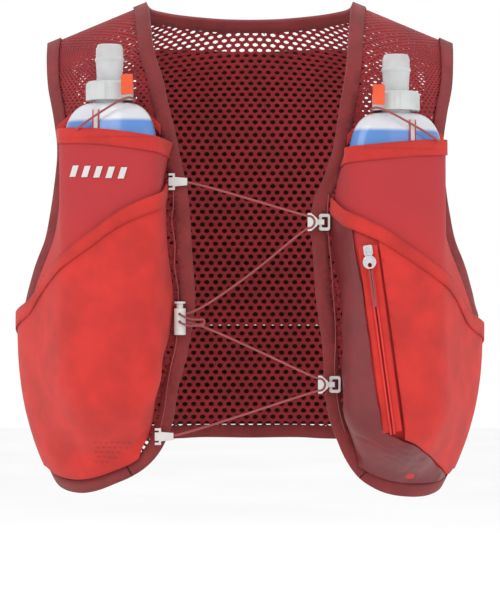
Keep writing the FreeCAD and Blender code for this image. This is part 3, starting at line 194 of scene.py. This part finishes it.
PAINTS = {
    "mesh": fabric("mesh_strands", MESH_RED, 1800.0, 0.04, 0.72),
    "back": fabric("back_cloth_painted_shade", BACK_SHADE_RED, 1500.0),
    "binding": fabric("binding_tape", BINDING_RED, 1100.0),
    "pocket": fabric("stretch_cloth", POCKET_RED, 1700.0),
    "flask_pocket": pocket_cloth("flask_pocket_cloth"),
    "hem": fabric("hem_tape", shade(POCKET_RED, 0.95), 1300.0),
    "ripstop": fabric("ripstop_cloth", RIPSTOP_RED, 420.0, 0.03, 0.42),
    "zip_tape": fabric("zip_tape_cloth", ZIP_RED, 1500.0),
    "zip_coil": plastic("zip_coil_nylon", ZIP_RED, 0.42, 300.0),
    "cord": fabric("cord_braid", CORD_RED, 900.0, 0.05, 0.65),
    "stitch": fabric("stitch_thread", STITCH_RED, 2600.0, 0.05, 0.7),
    "tab": fabric("tab_webbing", TAB_ORANGE, 1000.0, 0.05, 0.7),
    "reflective": plastic("reflective_film", (0.62, 0.60, 0.60), 0.30, 1500.0),
    "hardware": plastic("moulded_grey", HARDWARE_GREY, 0.42),
    "cap": plastic("cap_grey", CAP_GREY, 0.46),
    "silicone": plastic("valve_silicone", SILICONE, 0.35),
    "seal": plastic("seal_rubber", (0.07, 0.07, 0.075), 0.7),
    "steel": metal("spring_steel", (0.55, 0.55, 0.57), 0.28),
    "chrome": metal("pull_metal", (0.66, 0.66, 0.67), 0.18),
}
PAINTS["silicone"].node_tree.nodes["Principled BSDF"].inputs["Transmission Weight"].default_value = 0.45


# ---------------------------------------------------------------- making pieces

AHEAD = -0.5
LOOK_FAR = 1.0


def mesh_from(work, name):
    mesh = bpy.data.meshes.new(name)
    work.to_mesh(mesh)
    work.free()
    return mesh


def front_hit(tree, x, z):
    """Where a look along +Y first meets a surface, or None."""
    return tree.ray_cast(Vector((x, AHEAD, z)), Vector((0, 1, 0)), LOOK_FAR)[0]


def finish_piece(mesh, name, body, paint, slot, *nodes):
    """Object from a mesh, painted, riding on its body and standing for its CAD nodes."""
    piece = bpy.data.objects.new(name, mesh)
    bpy.context.scene.collection.objects.link(piece)
    mesh.materials.clear()
    mesh.materials.append(paint)
    mesh.polygons.foreach_set("use_smooth", [True] * len(mesh.polygons))
    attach(piece, body)
    if nodes:
        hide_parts(*nodes)
    return piece


WEBBING = ("flask_strap", "hang_loop", "zipper_tape")


def declare_cloth(node):
    """Does nothing: it returns at once for webbing and declares nothing for other cloth either."""
    if node.startswith(WEBBING):
        return


def body_of(node):
    return next(b for b, members in frame["record"]["behaviour"]["bodies"].items() if node in members)


def slot_of(node):
    return next(s["material_slot"] for s in frame["record"]["subparts"] if s["node"] == node)


def repaint(node, paint):
    """Give a CAD node that keeps its shape a finished material."""
    mesh = NODES[node].data
    mesh.materials.clear()
    mesh.materials.append(paint)


def tree_of(node):
    mesh = NODES[node].data
    return BVHTree.FromPolygons([v.co for v in mesh.vertices], [p.vertices for p in mesh.polygons])


SPLIT_ROUNDS = 5
MOST_FACES = 60000
WELD = 0.00002


def soft_copy(node, paint, wrinkle, size, edge=0.007):
    """Cloth piece over a CAD sheet: finer faces, moved along their normals by soft wrinkles."""
    work = bmesh.new()
    work.from_mesh(NODES[node].data)
    bmesh.ops.remove_doubles(work, verts=work.verts, dist=WELD)
    for _ in range(SPLIT_ROUNDS):
        long_edges = [e for e in work.edges if e.calc_length() > edge]
        if not long_edges or len(work.faces) > MOST_FACES:
            break
        bmesh.ops.subdivide_edges(work, edges=long_edges, cuts=1)
        bmesh.ops.triangulate(work, faces=[f for f in work.faces if len(f.verts) > 4])
    for vert in work.verts:
        # both faces of the cloth move the same way, so that it keeps its thickness
        outward = Vector((vert.co.x, vert.co.y, 0)).normalized()
        fold = noise.noise(Vector((vert.co.x, vert.co.y, vert.co.z * 0.55)) / size)
        crease = noise.noise(Vector((vert.co.x, vert.co.y, vert.co.z)) / (size * 0.35))
        vert.co += outward * wrinkle * (0.75 * fold + 0.25 * crease)
    mesh = mesh_from(work, node + "_cloth")
    piece = finish_piece(mesh, node + "_cloth", body_of(node), paint, slot_of(node), node)
    mesh.set_sharp_from_angle(angle=math.radians(50))
    if not node.startswith("flask_body"):
        declare_cloth(node)
    return piece


# ---------------------------------------------------------------- open mesh

ARCH = 0.130
ARCH_LENGTH = ARCH * math.pi / 2
SHOULDER_TOP = 0.038
SHOULDER_SLOPE = 0.42
SHOULDER_ROUND = 0.030
TURN_RADIUS = 0.095
LONGEST_WAY_DOWN = 0.66


def sight_line(along, down, way):
    """Ray onto the vest: along runs round the body, down runs from the shoulder line; way is -1 in front."""
    lean = min(down / ARCH, math.pi / 2)
    half = 0.120 + 0.080 * (1 - math.sin(lean))
    middle = max(-half, min(half, along))
    fan = (along - middle) / TURN_RADIUS
    level = math.sin(lean)
    slope = SHOULDER_SLOPE * math.hypot(middle * (1 - level), SHOULDER_ROUND)
    centre = Vector((middle, 0, SHOULDER_TOP - ARCH - slope - max(0.0, down - ARCH_LENGTH)))
    facing = Vector((math.sin(fan) * level, way * math.cos(fan) * level, math.cos(lean)))
    return centre + facing * 0.5, -facing.normalized()


def open_mesh(node, pitch, row, way, low, high, strand, thickness):
    """Knitted mesh as real strands: a ring round each hole, in staggered rows, laid on the CAD panel."""
    tree = tree_of(node)
    work = bmesh.new()
    found = {}

    def vertex(along, down):
        key = (round(along * 2e5), round(down * 2e5))
        if key not in found:
            hit = tree.ray_cast(*sight_line(along, down, way), 0.6)
            found[key] = work.verts.new(hit[0] - hit[1] * thickness) if hit[0] is not None else None
        return found[key]

    tall = row * 4 / 3
    corners = [(0, -tall / 2), (pitch / 2, -tall / 4), (pitch / 2, tall / 4), (0, tall / 2),
               (-pitch / 2, tall / 4), (-pitch / 2, -tall / 4)]
    share = 1 - strand / pitch * 2
    down = row
    count = 0
    while down < LONGEST_WAY_DOWN:
        along = low + (pitch / 2 if count % 2 else 0)
        while along < high:
            outer = [vertex(along + x, down + z) for x, z in corners]
            inner = [vertex(along + x * share, down + z * share) for x, z in corners]
            if None not in outer and None not in inner:
                for k in range(6):
                    ring = (outer[k], outer[(k + 1) % 6], inner[(k + 1) % 6], inner[k])
                    if max((ring[0].co - v.co).length for v in ring[1:]) < 3 * pitch:
                        work.faces.new(ring)
            along += pitch
        down += row
        count += 1
    bmesh.ops.delete(work, geom=[v for v in work.verts if not v.link_faces], context="VERTS")
    bmesh.ops.recalc_face_normals(work, faces=work.faces)
    mesh = mesh_from(work, node + "_mesh")
    piece = finish_piece(mesh, node + "_mesh", body_of(node), PAINTS["mesh"], "mesh", node)
    solid = piece.modifiers.new("strand_thickness", "SOLIDIFY")
    solid.thickness = thickness
    solid.offset = 0
    declare_cloth(node)


open_mesh("back_panel", 0.0088, 0.0064, 1, -0.36, 0.36, 0.0019, 0.0010)
for side, sign in (("left", 1), ("right", -1)):
    ends = (0.03, 0.34) if sign > 0 else (-0.34, -0.03)
    open_mesh(f"front_panel_{side}", 0.0056, 0.0043, -1, *ends, 0.0012, 0.0008)
    soft_copy(f"side_panel_{side}", PAINTS["binding"], 0.0004, 0.03)

# ---------------------------------------------------------------- cloth

for side in SIDES:
    soft_copy(f"flask_pocket_{side}", PAINTS["flask_pocket"], 0.0005, 0.045)
    soft_copy(f"stretch_pocket_{side}", PAINTS["pocket"], 0.0006, 0.040)
    for part in ("flask_pocket_hem", "stretch_pocket_hem"):
        soft_copy(f"{part}_{side}", PAINTS["hem"], 0.0003, 0.03)
    soft_copy(f"flask_strap_{side}", PAINTS["hem"], 0.0003, 0.02, 0.004)
    for part in ("front_binding", "hem_binding", "armhole_binding"):
        soft_copy(f"{part}_{side}", PAINTS["binding"], 0.0004, 0.03)
    soft_copy(f"flask_loop_tab_{side}", PAINTS["tab"], 0.0003, 0.01, 0.002)
for part in ("neck_binding", "hem_binding_back"):
    soft_copy(part, PAINTS["binding"], 0.0004, 0.03)
soft_copy("zip_pocket_panel", PAINTS["ripstop"], 0.0030, 0.022, 0.003)
# the back and waist pockets wear the darkened back paint, painted shade for the vest's inside seen through
# the mesh holes
soft_copy("back_pocket", PAINTS["back"], 0.0010, 0.05)
soft_copy("waist_pocket", PAINTS["back"], 0.0010, 0.05)
soft_copy("back_pocket_hem", PAINTS["hem"], 0.0003, 0.03)
soft_copy("hang_loop", PAINTS["hem"], 0.0002, 0.01, 0.003)
for part in ("inner", "outer"):
    soft_copy(f"zipper_tape_{part}", PAINTS["zip_tape"], 0.0001, 0.02)


SCAN_STEPS = 240
STITCH_THICKNESS = 0.0003


def stitches(node, along, offset, pitch=0.0034, way=-1):
    """Row of short stitches beside the upper edge of a tape that runs along X (0) or Z (2)."""
    tree = tree_of(node)
    across = 2 - along
    low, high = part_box(node)
    work = bmesh.new()
    steps = int((high[along] - low[along]) / pitch)
    reach = (high[across] - low[across]) / SCAN_STEPS
    last = None
    for k in range(steps + 1):
        here = low[along] + (k + 0.5) * pitch
        spot = None
        for j in range(SCAN_STEPS + 1):
            at = [0.0, way * 0.5, 0.0]
            at[along] = here
            at[across] = high[across] - j * reach - offset
            hit = tree.ray_cast(Vector(at), Vector((0, -way, 0)), 1.0)
            if hit[0] is not None:
                spot = hit[0] + Vector((0, way * 0.00025, 0))
                break
        if spot is not None and last is not None and (spot - last).length < 3 * pitch:
            middle = last.lerp(spot, 0.5)
            run = (spot - last).normalized()
            turn = run.to_track_quat("X", "Z").to_matrix().to_4x4()
            size = Matrix.Diagonal((pitch * 0.33, STITCH_THICKNESS, STITCH_THICKNESS, 1))
            place = Matrix.Translation(middle) @ turn @ size
            bmesh.ops.create_icosphere(work, subdivisions=1, radius=1.0, matrix=place)
        last = spot
    mesh = mesh_from(work, node + "_stitches")
    finish_piece(mesh, node + "_stitches", body_of(node), PAINTS["stitch"], slot_of(node))


for side in SIDES:
    stitches(f"flask_pocket_hem_{side}", 0, 0.0110)
    stitches(f"stretch_pocket_hem_{side}", 0, 0.0020)
    stitches(f"hem_binding_{side}", 0, 0.0016)
stitches("back_pocket_hem", 0, 0.0080, way=1)

# ---------------------------------------------------------------- flasks

UNDER_CAP = 0.0026
BAND_DROP = 0.016


def band_height(side):
    """Height where a flask turns from white to blue, below its cap."""
    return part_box(f"flask_cap_{side}")[0].z - UNDER_CAP - BAND_DROP


for side in SIDES:
    film = flask_film(f"flask_film_{side}", band_height(side))
    bladder = soft_copy(f"flask_body_{side}", film, 0.0005, 0.03, 0.006)
    repaint(f"flask_cap_{side}", PAINTS["cap"])
    repaint(f"bite_valve_{side}", PAINTS["silicone"])
    repaint(f"flask_seal_{side}", PAINTS["seal"])

# ---------------------------------------------------------------- printed marks

def on_cloth(tree, x, z, proud):
    spot = front_hit(tree, x, z)
    return spot - Vector((0, proud, 0)) if spot is not None else None


def patches(name, node, outlines, paint, slot, proud=0.0006, steps=6):
    """Thin printed patches just proud of a piece's front: each outline is four (x, z) corners."""
    tree = tree_of(node)
    work = bmesh.new()
    for corners in outlines:
        grid = []
        for i in range(steps + 1):
            for j in range(steps + 1):
                u, v = i / steps, j / steps
                x, z = (corners[0][c] * (1 - u) * (1 - v) + corners[1][c] * u * (1 - v)
                        + corners[2][c] * u * v + corners[3][c] * (1 - u) * v for c in (0, 1))
                grid.append(on_cloth(tree, x, z, proud))
        if None in grid:
            continue
        verts = [work.verts.new(co) for co in grid]
        for i in range(steps):
            for j in range(steps):
                k = i * (steps + 1) + j
                work.faces.new((verts[k], verts[k + steps + 1], verts[k + steps + 2], verts[k + 1]))
    mesh = mesh_from(work, name)
    finish_piece(mesh, name, body_of(node), paint, slot)


def slab(x, z, wide, tall, lean=0.0):
    """Corners of an upright or leaning rectangle round (x, z)."""
    return [(x - wide / 2 - lean, z - tall / 2), (x + wide / 2 - lean, z - tall / 2),
            (x + wide / 2 + lean, z + tall / 2), (x - wide / 2 + lean, z + tall / 2)]


# plain slanted bars on the wearer's right pocket
patches("reflective_bars", "flask_pocket_right",
        [slab(-0.157 + 0.011 * k, -0.168 - 0.0006 * k, 0.0055, 0.010, 0.0016) for k in range(5)],
        PAINTS["reflective"], "pocket_stretch", 0.0009)
# perforations low on the wearer's right pocket: flat patches in the dark stitch red, painted shade for the
# holes
patches("vent_holes_painted_shade", "stretch_pocket_right",
        [slab(-0.140 + 0.0052 * i + 0.0026 * (j % 2), -0.412 - 0.0046 * j, 0.0014, 0.0014)
         for j in range(5) for i in range(7 - j)], PAINTS["stitch"], "pocket_stretch", 0.0010, 1)
for side, stripe_x in (("left", 0.145), ("right", -0.1375)):
    middle = band_height(side)
    patches(f"flask_stripe_{side}", f"flask_body_{side}", [slab(stripe_x, middle, 0.0036, 0.020)],
            PAINTS["cap"], "flask_film", 0.0010)
    patches(f"flask_marks_{side}", f"flask_body_{side}",
            [slab(stripe_x + way * 0.0026, middle, 0.0010, 0.020) for way in (-1, 1)],
            PAINTS["zip_tape"], "flask_film", 0.0011)

# ---------------------------------------------------------------- hardware that keeps its CAD shape

for node in ("chest_clip_upper", "chest_clip_lower", "chest_rings", "chest_hook_upper", "chest_hook_lower",
             "cord_lock_barrel", "cord_lock_button"):
    repaint(node, PAINTS["hardware"])
for node in ("zipper_slider", "zipper_pull"):
    repaint(node, PAINTS["chrome"])
for node in ("zipper_coil_inner", "zipper_coil_outer"):
    repaint(node, PAINTS["zip_coil"])
repaint("cord_lock_spring", PAINTS["steel"])

# ---------------------------------------------------------------- cords

CORD_DIAMETER = 0.002


def soft_cord(name, points, body, node, diameter=CORD_DIAMETER):
    """Elastic cord on one smooth curve drawn towards its route's points."""
    curve = bpy.data.curves.new(name, "CURVE")
    curve.dimensions = "3D"
    curve.bevel_depth = diameter / 2
    curve.bevel_resolution = 4
    curve.resolution_u = 12
    line = curve.splines.new("NURBS")
    line.points.add(len(points) - 1)
    for target, point in zip(line.points, points):
        target.co = (*point, 1)
    line.order_u = 3
    line.use_endpoint_u = True
    curve.materials.append(PAINTS["cord"])
    piece = bpy.data.objects.new(name, curve)
    bpy.context.scene.collection.objects.link(piece)
    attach(piece, body)
    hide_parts(node)


UPPER_ROUTE = [(-0.061, -0.1102, -0.1765), (-0.052, -0.1106, -0.1773), (-0.006, -0.1126, -0.1905),
               (0.05, -0.1148, -0.2074), (0.056, -0.1148, -0.2078), (0.0586, -0.1148, -0.213),
               (0.056, -0.1148, -0.2182), (0.05, -0.1148, -0.2186), (0.0023, -0.1152, -0.2591),
               (-0.0507, -0.1143, -0.2956), (-0.0595, -0.1142, -0.2956)]
LOWER_ROUTE = [(-0.0735, -0.1086, -0.406), (-0.0645, -0.109, -0.405), (-0.0065, -0.1118, -0.3865),
               (0.0594, -0.1144, -0.3646), (0.0654, -0.1144, -0.3642), (0.068, -0.1144, -0.359),
               (0.0654, -0.1144, -0.3538), (0.0594, -0.1144, -0.3534), (0.0063, -0.1157, -0.3281),
               (-0.0507, -0.1143, -0.3026), (-0.0595, -0.1142, -0.3026)]
SLACK_ROUTE = [(-0.063, -0.1177, -0.2956), (-0.063, -0.1227, -0.2958), (-0.055, -0.1229, -0.3),
               (-0.047, -0.1213, -0.3008), (-0.041, -0.1207, -0.3), (-0.0405, -0.1207, -0.3042),
               (-0.047, -0.1213, -0.306), (-0.055, -0.1227, -0.3062), (-0.063, -0.1227, -0.3032),
               (-0.063, -0.1177, -0.3026)]
LOOP_ROUTES = {
    "left": [(0.1688, -0.1258, -0.1414), (0.1628, -0.1283, -0.1369), (0.1414, -0.1374, -0.1253),
             (0.114, -0.143, -0.1113), (0.106, -0.132, -0.1136), (0.1106, -0.1205, -0.1147),
             (0.123, -0.1012, -0.1147), (0.137, -0.1007, -0.1147)],
    "right": [(-0.1547, -0.1316, -0.1311), (-0.1487, -0.1341, -0.1266), (-0.1319, -0.1403, -0.1157),
              (-0.109, -0.143, -0.1023), (-0.101, -0.132, -0.1046), (-0.1056, -0.1205, -0.1057),
              (-0.118, -0.1012, -0.1057), (-0.132, -0.1007, -0.1057)],
}
PULL_ROUTE = [(0.1055, -0.1493, -0.2570), (0.1095, -0.1490, -0.2868), (0.1106, -0.1490, -0.2890),
              (0.1113, -0.1491, -0.2865), (0.1073, -0.1494, -0.2568)]
RAIL_OUTLINES = {
    "right": [(-0.071, -0.172), (-0.068, -0.192), (-0.0715, -0.212), (-0.067, -0.232), (-0.069, -0.252),
              (-0.0645, -0.272), (-0.0645, -0.290), (-0.066, -0.322), (-0.0715, -0.342), (-0.075, -0.362),
              (-0.077, -0.384), (-0.082, -0.402)],
    "left": [(0.071, -0.188), (0.069, -0.208), (0.071, -0.228), (0.0735, -0.252), (0.075, -0.276),
             (0.077, -0.300), (0.0775, -0.322), (0.076, -0.344), (0.078, -0.366), (0.081, -0.386),
             (0.086, -0.402)],
}
RAIL_DIAMETER = 0.0012
RAIL_STANDS_OFF = 0.002
PULL_CORD_DIAMETER = 0.0016

soft_cord("chest_cord_upper_braid", UPPER_ROUTE, "vest", "chest_cord_upper")
soft_cord("chest_cord_lower_braid", LOWER_ROUTE, "vest", "chest_cord_lower")
soft_cord("slack_loop_braid", SLACK_ROUTE, "vest", "slack_loop")
for side, route in LOOP_ROUTES.items():
    soft_cord(f"flask_loop_{side}_braid", route, f"loop_{side}", f"flask_loop_{side}")
for side, outline in RAIL_OUTLINES.items():
    tree = tree_of(f"front_panel_{side}")
    route = [(x, front_hit(tree, x, z).y - RAIL_STANDS_OFF, z) for x, z in outline]
    soft_cord(f"rail_cord_{side}_braid", route, "vest", "rail_cords", RAIL_DIAMETER)
soft_cord("zipper_pull_cord_braid", PULL_ROUTE, "zip_pull", "zipper_pull_cord", PULL_CORD_DIAMETER)

# ---------------------------------------------------------------- studio

CAMERA_HEIGHT = -0.283
CAMERA_DISTANCE = 2.110
LENS = 133.3
FLOOR_HEIGHT = -0.75
LIGHTS_AIM = Vector((0, 0, -0.25))


def area_light(name, place, energy, size):
    light = bpy.data.lights.new(name, "AREA")
    light.energy = energy
    light.size = size
    lamp = bpy.data.objects.new(name, light)
    lamp.location = place
    lamp.rotation_euler = (LIGHTS_AIM - Vector(place)).to_track_quat("-Z", "Y").to_euler()
    bpy.context.scene.collection.objects.link(lamp)


def studio():
    paper = Paint("studio_paper", 0.9)
    paper.colour(paper.between(paper.noise(2.0), (0.93, 0.93, 0.93), (0.96, 0.96, 0.96)))
    work = bmesh.new()
    bmesh.ops.create_grid(work, x_segments=2, y_segments=2, size=6.0)
    mesh = mesh_from(work, "studio_floor")
    mesh.materials.append(paper.material)
    floor = bpy.data.objects.new("studio_floor", mesh)
    floor.location = (0, 0, FLOOR_HEIGHT)
    bpy.context.scene.collection.objects.link(floor)
    world = bpy.data.worlds.new("studio")
    world.use_nodes = True
    world.node_tree.nodes["Background"].inputs["Color"].default_value = (1, 1, 1, 1)
    world.node_tree.nodes["Background"].inputs["Strength"].default_value = 1.0
    bpy.context.scene.world = world
    bpy.context.scene.view_settings.view_transform = "Standard"
    area_light("key_softbox", (-1.2, -1.9, 0.9), 14, 1.2)
    area_light("fill_softbox", (1.5, -1.6, 0.1), 5, 1.4)
    area_light("back_softbox", (0.2, 1.8, 0.8), 8, 1.2)


def camera():
    data = bpy.data.cameras.new("photo_camera")
    data.lens = LENS
    data.sensor_fit = "VERTICAL"
    data.sensor_height = 36.0
    eye = bpy.data.objects.new("photo_camera", data)
    eye.location = (0, -CAMERA_DISTANCE, CAMERA_HEIGHT)
    eye.rotation_euler = (math.pi / 2, 0, 0)
    bpy.context.scene.collection.objects.link(eye)
    bpy.context.scene.camera = eye


studio()
camera()
